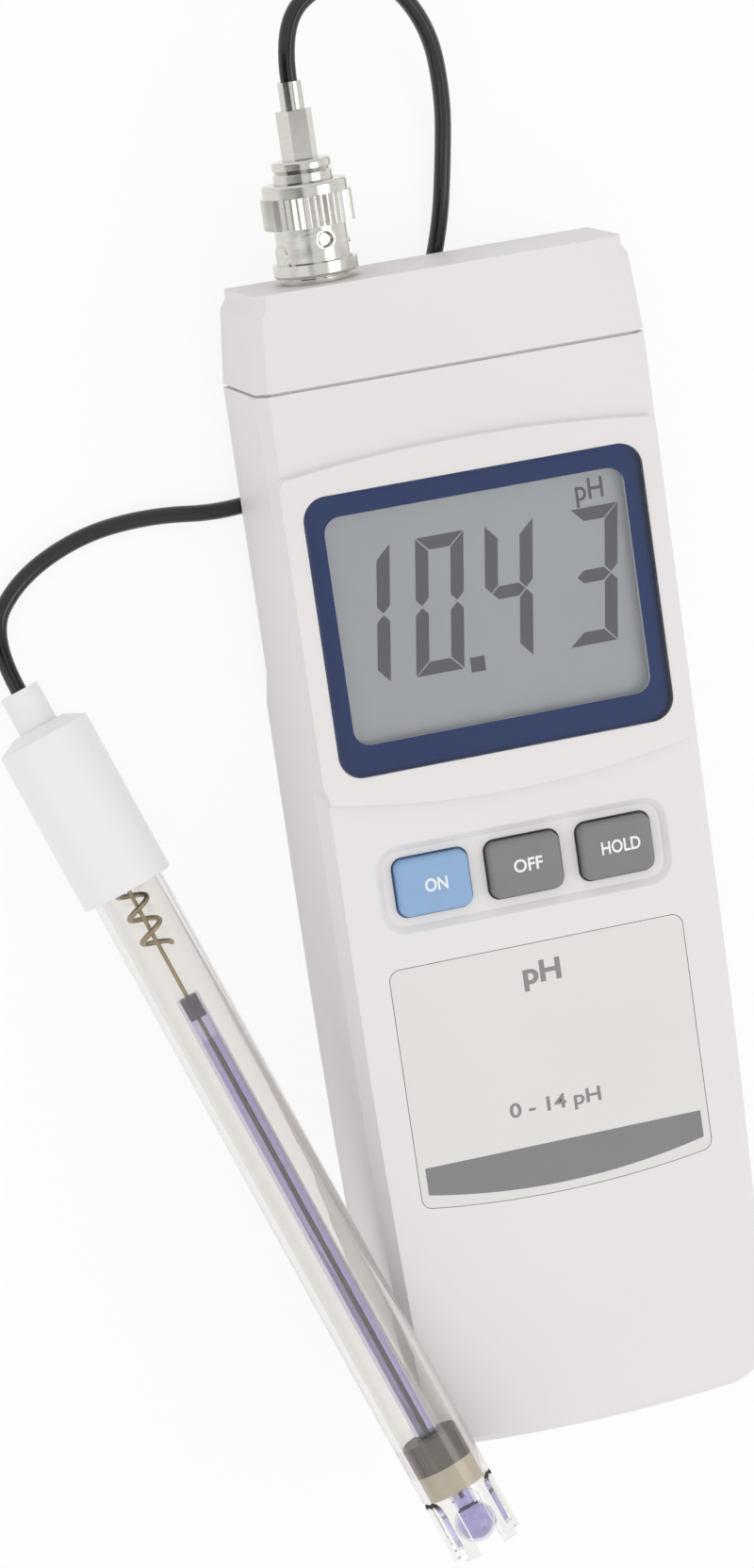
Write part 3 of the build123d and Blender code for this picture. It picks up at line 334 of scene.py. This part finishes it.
@dataclass
class Workshop:
    """What every sub-assembly shares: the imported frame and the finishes."""

    frame: dict
    finishes: Finishes

    def dress(self, finish: Finish | ClearFinish, *nodes: str) -> None:
        """Gives CAD nodes a finish.

        Args:
            finish: The finish.
            *nodes: Names of the nodes.
        """
        for name in nodes:
            mesh = self.frame["nodes"][name].data
            mesh.materials.clear()
            mesh.materials.append(self.finishes.get(finish))
            log.info("dressed %s", name)

    def place(
        self, name: str, form: bmesh.types.BMesh, finish: Finish | ClearFinish, body: str, slot: str
    ) -> bpy.types.Object:
        """Makes a finished piece of a form, whose place is already in its mesh.

        Args:
            name: The piece's name.
            form: Its mesh, in metres. It is freed.
            finish: Its finish.
            body: The body that it rides on.
            slot: The record's slot for it. It is not used.

        Returns:
            The piece.
        """
        bmesh.ops.recalc_face_normals(form, faces=form.faces)
        mesh = bpy.data.meshes.new(name)
        form.to_mesh(mesh)
        form.free()
        piece = bpy.data.objects.new(name, mesh)
        bpy.context.scene.collection.objects.link(piece)
        mesh.materials.append(self.finishes.get(finish))
        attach(piece, body)
        log.info("made %s", name)
        return piece


@dataclass
class Camera:
    """The camera at the photograph's viewing angle."""

    place_mm: tuple[float, float, float] = (-187.755, 175.654, 766.177)
    right: tuple[float, float, float] = (0.95894, -0.14235, 0.24528)
    up: tuple[float, float, float] = (0.18693, 0.96770, -0.16918)
    back: tuple[float, float, float] = (-0.21328, 0.20809, 0.95457)
    lens_mm: float = 108.17
    sensor_mm: float = 36.0
    clip_start: float = 0.05

    def build(self) -> None:
        """Makes the camera and sets it as the scene's."""
        data = bpy.data.cameras.new("camera")
        data.sensor_fit = "VERTICAL"
        data.sensor_height = self.sensor_mm
        data.lens = self.lens_mm
        data.clip_start = self.clip_start
        camera = bpy.data.objects.new("camera", data)
        bpy.context.scene.collection.objects.link(camera)
        axes = Matrix((self.right, self.up, self.back)).transposed().to_4x4()
        camera.matrix_world = Matrix.Translation(Vector(self.place_mm) * MM) @ axes
        bpy.context.scene.camera = camera


@dataclass
class Probe:
    """The capped probe that leans on the case, and where its axis lies."""

    shop: Workshop
    heel_mm: tuple[float, float] = (-73.0, 29.1)
    heading_deg: float = -71.67
    tilt_deg: float = 11.946
    cap_radius_mm: float = 8.0
    neck_mm: float = 8.5

    def way(self) -> Vector:
        """The direction from the cap to the tip."""
        tilt, heading = math.radians(self.tilt_deg), math.radians(self.heading_deg)
        return Vector(
            (math.cos(tilt) * math.cos(heading), math.cos(tilt) * math.sin(heading), math.sin(tilt))
        )

    def at(self, station_mm: float) -> Vector:
        """The axis point, in metres, at a distance from the cap's rear rim towards the tip."""
        height = self.cap_radius_mm * math.cos(math.radians(self.tilt_deg))
        return (Vector((*self.heel_mm, height)) + self.way() * station_mm) * MM

    def build(self) -> None:
        """Dresses the probe's nodes."""
        finishes = self.shop.finishes
        self.shop.dress(finishes.cap, "probe_cap")
        self.shop.dress(finishes.tube, "probe_body")
        self.shop.dress(finishes.seal, "seal_plug", "stem_stopper", "tube_plug")
        self.shop.dress(finishes.junction, "junction_ring")
        self.shop.dress(finishes.bulb, "glass_electrode")
        self.shop.dress(finishes.buffer, "buffer_fill")
        self.shop.dress(finishes.silver, "electrode_wire", "reference_wire")


@dataclass
class Cable:
    """The black cable from the plug's ferrule to the probe's neck."""

    shop: Workshop
    probe: Probe
    radius_mm: float = 1.4
    length_mm: float = 197.6
    end_run_mm: float = 10.0
    start_mm: tuple[float, float, float] = (-18.0, 129.2, 17.5)
    start_run_mm: float = 9.3
    bevel_resolution: int = 5
    steps_between_points: int = 10
    way_mm: tuple[tuple[float, float, float], ...] = (
        (-9.5, 144.3, 15.5),
        (1.8, 143.3, 12.0),
        (8.8, 133.8, 8.0),
        (10.5, 122.0, 4.5),
        (9.5, 111.0, 2.2),
        (7.5, 100.0, 1.6),
        (3.0, 88.0, 1.45),
        (-4.0, 77.0, 1.42),
        (-13.0, 68.0, 1.44),
        (-24.0, 61.5, 1.42),
        (-36.0, 59.5, 1.44),
        (-48.5, 61.2, 1.42),
        (-61.0, 60.0, 1.44),
        (-72.5, 54.5, 2.0),
    )

    def points(self) -> list[Vector]:
        """The route's points in metres, from the plug to the probe."""
        start = Vector(self.start_mm) * MM
        straight = start + Vector((0.0, self.start_run_mm * MM, 0.0))
        neck = self.probe.neck_mm
        ends = [self.probe.at(-neck - self.end_run_mm), self.probe.at(-neck)]
        return [start, straight, *(Vector(point) * MM for point in self.way_mm), *ends]

    def build(self) -> None:
        curve = bpy.data.curves.new("sensor_cable", "CURVE")
        curve.dimensions = "3D"
        curve.bevel_depth = self.radius_mm * MM
        curve.bevel_resolution = self.bevel_resolution
        curve.use_fill_caps = True
        points = self.points()
        spline = curve.splines.new("NURBS")
        spline.points.add(len(points) - 1)
        for control, point in zip(spline.points, points):
            control.co = (*point, 1.0)
        spline.order_u = 3
        spline.use_endpoint_u = True
        spline.resolution_u = self.steps_between_points
        cable = bpy.data.objects.new("sensor_cable", curve)
        bpy.context.scene.collection.objects.link(cable)
        curve.materials.append(self.shop.finishes.get(self.shop.finishes.sheath))
        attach(cable, MAIN_BODY)
        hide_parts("cable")
        log.info("made sensor_cable")


class Words(NamedTuple):
    """One line of raised ink lettering that reads along +X."""

    name: str
    text: str
    start_mm: tuple[float, float]
    height_mm: float
    width_mm: float
    face_z_mm: float
    ink: Finish
    body: str
    slot: str
    weight: float = 0.02


@dataclass
class Case:
    """The housing with its label and keys."""

    shop: Workshop
    face_z_mm: float = 28.2
    key_z_mm: float = 29.2
    band_half_width_mm: float = 24.3
    band_top_mm: float = -51.35
    band_side_bottom_mm: float = -56.0
    band_middle_bottom_mm: float = -58.6
    band_steps: int = 24
    text_depth_mm: float = 0.04
    half_extrude: float = 0.01
    curve_steps: int = 6

    def lettering(self, words: Words) -> None:
        """Makes one line of raised ink lettering.

        Args:
            words: What it reads, where it starts, its size, its ink and what it rides on.
        """
        curve = bpy.data.curves.new(words.name + "_line", "FONT")
        curve.body = words.text
        curve.size = 1.0
        curve.offset = words.weight
        curve.resolution_u = self.curve_steps
        curve.extrude = self.half_extrude
        line = bpy.data.objects.new(words.name + "_line", curve)
        bpy.context.scene.collection.objects.link(line)
        bpy.context.view_layer.update()
        mesh = bpy.data.meshes.new_from_object(line.evaluated_get(bpy.context.evaluated_depsgraph_get()))
        form = bmesh.new()
        form.from_mesh(mesh)
        bpy.data.objects.remove(line)
        bpy.data.meshes.remove(mesh)
        xs = [vertex.co.x for vertex in form.verts]
        ys = [vertex.co.y for vertex in form.verts]
        scale = Vector(
            (
                words.width_mm * MM / (max(xs) - min(xs)),
                words.height_mm * MM / (max(ys) - min(ys)),
                self.text_depth_mm * MM / (2 * self.half_extrude),
            )
        )
        place = Vector((*words.start_mm, words.face_z_mm - PRINT_SINK_MM)) * MM
        bmesh.ops.translate(form, verts=form.verts, vec=(-min(xs), -min(ys), self.half_extrude))
        bmesh.ops.scale(form, verts=form.verts, vec=scale)
        bmesh.ops.translate(form, verts=form.verts, vec=place)
        self.shop.place(words.name, form, words.ink, words.body, words.slot)

    def label_band(self) -> None:
        """Makes the dark band across the label's foot, with its bowed lower edge."""
        form = bmesh.new()
        bmesh.ops.create_grid(form, x_segments=self.band_steps, y_segments=1, size=1.0)
        half = self.band_half_width_mm
        for vertex in form.verts:
            across = vertex.co.x
            if vertex.co.y > 0:
                height = self.band_top_mm
            else:
                fall = (self.band_side_bottom_mm - self.band_middle_bottom_mm) * (1 - across * across)
                height = self.band_side_bottom_mm - fall
            vertex.co = Vector((across * half, height, self.face_z_mm - PRINT_SINK_MM)) * MM
        lifted = bmesh.ops.extrude_face_region(form, geom=form.faces[:])
        raised = [item for item in lifted["geom"] if isinstance(item, bmesh.types.BMVert)]
        bmesh.ops.translate(form, verts=raised, vec=(0, 0, (PRINT_RISE_MM + PRINT_SINK_MM) * MM))
        self.shop.place("label_band", form, self.shop.finishes.dark_print, MAIN_BODY, "label")

    def build(self) -> None:
        """Dresses the case's nodes and makes its lettering."""
        finishes = self.shop.finishes
        self.shop.dress(finishes.case, "front_shell", "back_shell", "top_cap", "battery_door")
        self.shop.dress(finishes.label, "label_plate")
        self.shop.dress(finishes.steel, "case_screws", "board_screws")
        self.shop.dress(finishes.board, "main_board")
        self.shop.dress(finishes.chip, "main_chip", "battery_snap")
        self.shop.dress(finishes.wrap, "battery")
        self.shop.dress(finishes.lead, "battery_leads", "input_lead")
        self.shop.dress(finishes.pale_rubber, "key_mat", "contact_strips")
        self.shop.dress(finishes.blue_key, "key_on")
        self.shop.dress(finishes.grey_key, "key_off", "key_hold")
        self.label_band()
        grey, white = finishes.grey_print, finishes.white_print
        face, key = self.face_z_mm, self.key_z_mm
        for words in (
            Words("label_title", "pH", (-3.0, -24.9), 4.9, 6.6, face, grey, MAIN_BODY, "label", 0.03),
            Words("label_range", "0 - 14 pH", (-8.5, -46.7), 3.3, 16.0, face, grey, MAIN_BODY, "label"),
            Words("on_word", "ON", (-17.55, -4.6), 2.25, 3.9, key, white, "key_on", "key_blue"),
            Words("off_word", "OFF", (-2.15, -4.4), 2.25, 5.0, key, white, "key_off", "key_grey"),
            Words("hold_word", "HOLD", (13.15, -4.3), 2.25, 6.8, key, white, "key_hold", "key_grey"),
        ):
            self.lettering(words)


class BarPlace(NamedTuple):
    """Where a bar lies in its figure."""

    level: bool
    low: float
    right: bool = False


class Bar(Enum):
    """The seven bars of a figure on the display. Heights are shares of the figure's."""

    TOP = BarPlace(True, 1.0)
    MIDDLE = BarPlace(True, 0.5)
    BOTTOM = BarPlace(True, 0.0)
    UPPER_LEFT = BarPlace(False, 0.5)
    LOWER_LEFT = BarPlace(False, 0.0)
    UPPER_RIGHT = BarPlace(False, 0.5, True)
    LOWER_RIGHT = BarPlace(False, 0.0, True)


FIGURES: dict[str, tuple[Bar, ...]] = {
    "0": (Bar.TOP, Bar.UPPER_RIGHT, Bar.LOWER_RIGHT, Bar.BOTTOM, Bar.LOWER_LEFT, Bar.UPPER_LEFT),
    "1": (Bar.UPPER_RIGHT, Bar.LOWER_RIGHT),
    "3": (Bar.TOP, Bar.UPPER_RIGHT, Bar.LOWER_RIGHT, Bar.BOTTOM, Bar.MIDDLE),
    "4": (Bar.UPPER_RIGHT, Bar.LOWER_RIGHT, Bar.UPPER_LEFT, Bar.MIDDLE),
}


@dataclass
class Display:
    """The window, the printed border, the display glass and its figures."""

    shop: Workshop
    glass_z_mm: float = 26.2
    low_mm: float = 30.7
    high_mm: float = 53.5
    lean: float = 0.135
    figure_width_mm: float = 8.3
    bar_mm: float = 2.3
    gap_mm: float = 0.15
    figures: tuple[tuple[str, float], ...] = (("1", -26.0), ("0", -13.4), ("4", -1.5), ("3", 13.2))
    point_mm: tuple[float, float, float, float] = (-4.0, 29.8, -1.5, 32.3)
    depth_mm: float = 0.04

    def outline(self, bar: Bar) -> list[tuple[float, float]]:
        """A bar's corners in the figure's own millimetres, with mitred ends.

        Args:
            bar: The bar.

        Returns:
            Corners in order, from the figure's lower left corner.
        """
        place = bar.value
        width, height, thick = self.figure_width_mm, self.high_mm - self.low_mm, self.bar_mm
        half, middle = thick / 2, height / 2
        if bar is Bar.MIDDLE:
            return [
                (half, middle),
                (thick, middle + half),
                (width - thick, middle + half),
                (width - half, middle),
                (width - thick, middle - half),
                (thick, middle - half),
            ]
        outer, inner = (height, height - thick) if place.low else (0.0, thick)
        if place.level:
            return [(0.0, outer), (width, outer), (width - thick, inner), (thick, inner)]
        near = middle + half if place.low else middle - half
        corners = [(0.0, outer), (thick, inner), (thick, near), (half, middle), (0.0, near)]
        return [(width - x if place.right else x, y) for x, y in corners]

    def figure(self, name: str, figure: str, left_mm: float) -> None:
        """Makes one figure of the display.

        Args:
            name: The piece's name.
            figure: The figure.
            left_mm: Where its lower left corner is.
        """
        form = bmesh.new()
        for bar in FIGURES[figure]:
            corners = [Vector(corner) for corner in self.outline(bar)]
            middle = sum(corners, Vector((0.0, 0.0))) / len(corners)
            points = []
            for corner in corners:
                drawn_in = corner + (middle - corner).normalized() * self.gap_mm
                across = left_mm + drawn_in.x + self.lean * drawn_in.y
                spot = Vector((across, self.low_mm + drawn_in.y, self.glass_z_mm))
                points.append(form.verts.new(spot * MM))
            form.faces.new(points)
        self.raise_and_place(name, form)

    def raise_and_place(self, name: str, form: bmesh.types.BMesh) -> None:
        """Gives flat faces on the glass their thickness and makes them a piece.

        Args:
            name: The piece's name.
            form: The faces, in metres. It is freed.
        """
        lifted = bmesh.ops.extrude_face_region(form, geom=form.faces[:])
        raised = [item for item in lifted["geom"] if isinstance(item, bmesh.types.BMVert)]
        bmesh.ops.translate(form, verts=raised, vec=(0, 0, self.depth_mm * MM))
        self.shop.place(name, form, self.shop.finishes.segment, MAIN_BODY, "display_glass")

    def build(self, case: Case) -> None:
        """Dresses the display's nodes and makes its figures.

        Args:
            case: The case, whose lettering method also writes the unit.
        """
        finishes = self.shop.finishes
        self.shop.dress(finishes.lens, "display_window")
        self.shop.dress(finishes.blue_print, "window_border")
        self.shop.dress(finishes.glass, "lcd_panel")
        self.shop.dress(finishes.white, "lcd_frame")
        for number, (figure, left) in enumerate(self.figures):
            self.figure(f"display_figure_{number}", figure, left)
        form = bmesh.new()
        made = bmesh.ops.create_grid(form, x_segments=1, y_segments=1, size=1.0)
        low_x, low_y, high_x, high_y = self.point_mm
        for vertex in made["verts"]:
            x = high_x if vertex.co.x > 0 else low_x
            y = high_y if vertex.co.y > 0 else low_y
            vertex.co = Vector((x, y, self.glass_z_mm)) * MM
        self.raise_and_place("display_point", form)
        face, ink, slot = self.glass_z_mm, finishes.segment, "display_glass"
        case.lettering(Words("display_unit", "pH", (17.6, 53.6), 4.6, 4.8, face, ink, MAIN_BODY, slot, 0.01))


@dataclass
class Connector:
    """The panel socket and the bayonet plug on it."""

    shop: Workshop

    def build(self) -> None:
        """Dresses the connector's nodes."""
        finishes = self.shop.finishes
        self.shop.dress(
            finishes.nickel,
            "bnc_socket",
            "socket_washer",
            "socket_nut",
            "plug_body",
            "plug_washer",
            "plug_coupling",
            "crimp_ferrule",
        )
        self.shop.dress(finishes.white, "socket_insulator", "plug_insulator")
        self.shop.dress(finishes.gilt, "socket_contact", "plug_pin")


class Lamp(NamedTuple):
    """A square area lamp: where it hangs, how wide it is and how bright."""

    name: str
    place: tuple[float, float, float]
    size: float
    watts: float


class Card(NamedTuple):
    """A dark card: its place from what it faces, and half its width and height."""

    name: str
    offset: tuple[float, float, float]
    half: tuple[float, float]


@dataclass
class Studio:
    """Pale floor, soft lamps and white surroundings. Its sizes are in metres."""

    floor_size: float = 4.0
    world_strength: float = 0.88
    floor_glow: float = 0.86
    middle: tuple[float, float, float] = (-0.02, 0.0, 0.015)
    plug: tuple[float, float, float] = (-0.018, 0.112, 0.0175)
    lamps: tuple[Lamp, ...] = (
        Lamp("key_lamp", (0.75, -0.15, 1.0), 0.7, 2.2),
        Lamp("fill_lamp", (-0.9, -0.4, 0.8), 0.9, 0.9),
    )
    cards: tuple[Card, ...] = (
        Card("left_card", (-0.25, 0.02, 0.22), (0.05, 0.2)),
        Card("right_card", (0.22, 0.05, 0.30), (0.03, 0.2)),
    )

    def lamp(self, lamp: Lamp) -> None:
        """Hangs a lamp that faces the middle of the object."""
        data = bpy.data.lights.new(lamp.name, "AREA")
        data.shape = "SQUARE"
        data.size = lamp.size
        data.energy = lamp.watts
        light = bpy.data.objects.new(lamp.name, data)
        bpy.context.scene.collection.objects.link(light)
        place = Vector(lamp.place)
        turn = (place - Vector(self.middle)).to_track_quat("Z", "Y").to_matrix().to_4x4()
        light.matrix_world = Matrix.Translation(place) @ turn

    def backdrop(self, name: str, form: bmesh.types.BMesh) -> bpy.types.Object:
        """Makes a piece of the studio, which isn't part of the object.

        Args:
            name: Its name.
            form: Its mesh, in metres. It is freed.

        Returns:
            The piece, with no material yet.
        """
        mesh = bpy.data.meshes.new(name)
        form.to_mesh(mesh)
        form.free()
        piece = bpy.data.objects.new(name, mesh)
        bpy.context.scene.collection.objects.link(piece)
        return piece

    def floor(self) -> None:
        """Makes the floor: white to the camera, with the object's shadow kept."""
        form = bmesh.new()
        bmesh.ops.create_grid(form, x_segments=1, y_segments=1, size=self.floor_size)
        floor = self.backdrop("studio_floor", form)
        material = bpy.data.materials.new("white_floor")
        material.use_nodes = True
        tree = material.node_tree
        tree.nodes.clear()
        path = add_node(tree, "ShaderNodeLightPath")
        seen = add_node(
            tree,
            "ShaderNodeMath",
            links={0: path.outputs["Is Camera Ray"], 1: path.outputs["Is Glossy Ray"]},
            operation="MAXIMUM",
        )
        share = add_node(
            tree,
            "ShaderNodeMath",
            {1: self.floor_glow},
            {0: seen.outputs["Value"]},
            operation="MULTIPLY",
        )
        matt = add_node(tree, "ShaderNodeBsdfDiffuse", {"Color": to_linear("f6f6f6")})
        white = add_node(tree, "ShaderNodeEmission", {"Color": (1, 1, 1, 1), "Strength": 1.0})
        both = mix_shaders(tree, share.outputs["Value"], matt.outputs["BSDF"], white.outputs["Emission"])
        add_node(tree, "ShaderNodeOutputMaterial", links={"Surface": both})
        floor.data.materials.append(material)

    def surroundings(self) -> None:
        """Makes the world: soft fill light, plain white where it is seen."""
        world = bpy.data.worlds.new("studio_world")
        bpy.context.scene.world = world
        world.use_nodes = True
        tree = world.node_tree
        tree.nodes.clear()
        path = add_node(tree, "ShaderNodeLightPath")
        seen = add_node(
            tree,
            "ShaderNodeMath",
            links={0: path.outputs["Is Camera Ray"], 1: path.outputs["Is Transmission Ray"]},
            operation="MAXIMUM",
        )
        dim, white = (
            add_node(tree, "ShaderNodeBackground", {"Color": (1, 1, 1, 1), "Strength": strength})
            for strength in (self.world_strength, 1.0)
        )
        both = mix_shaders(
            tree, seen.outputs["Value"], dim.outputs["Background"], white.outputs["Background"]
        )
        add_node(tree, "ShaderNodeOutputWorld", links={"Surface": both})

    def card(self, card: Card) -> None:
        """Hangs a dark card that faces the plug and only shows in glossy surfaces."""
        form = bmesh.new()
        bmesh.ops.create_grid(form, x_segments=1, y_segments=1, size=1.0)
        bmesh.ops.scale(form, verts=form.verts, vec=(*card.half, 1.0))
        offset = Vector(card.offset)
        turn = (-offset).to_track_quat("Z", "Y").to_matrix().to_4x4()
        place = Matrix.Translation(Vector(self.plug) + offset) @ turn
        bmesh.ops.transform(form, verts=form.verts, matrix=place)
        piece = self.backdrop(card.name, form)
        piece.visible_camera = False
        piece.visible_diffuse = False
        piece.visible_shadow = False
        piece.visible_transmission = False
        material = bpy.data.materials.get("dark_card")
        if material is None:
            material = bpy.data.materials.new("dark_card")
            material.use_nodes = True
            surface = material.node_tree.nodes["Principled BSDF"]
            surface.inputs["Base Color"].default_value = to_linear("1a1a1a")
            surface.inputs["Roughness"].default_value = 0.9
        piece.data.materials.append(material)

    def build(self) -> None:
        """Makes the floor, the world, the lamps and the cards, and sets how colours are shown."""
        self.floor()
        self.surroundings()
        for lamp in self.lamps:
            self.lamp(lamp)
        for card in self.cards:
            self.card(card)
        bpy.context.scene.view_settings.view_transform = "Standard"


def main() -> None:
    """Builds the meter's looks in order."""
    logging.basicConfig(level=logging.INFO, format="%(message)s")
    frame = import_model()
    shop = Workshop(frame, Finishes())
    Camera().build()
    probe = Probe(shop)
    Cable(shop, probe).build()
    case = Case(shop)
    case.build()
    Display(shop).build(case)
    Connector(shop).build()
    probe.build()
    Studio().build()


if __name__ == "__main__":
    main()
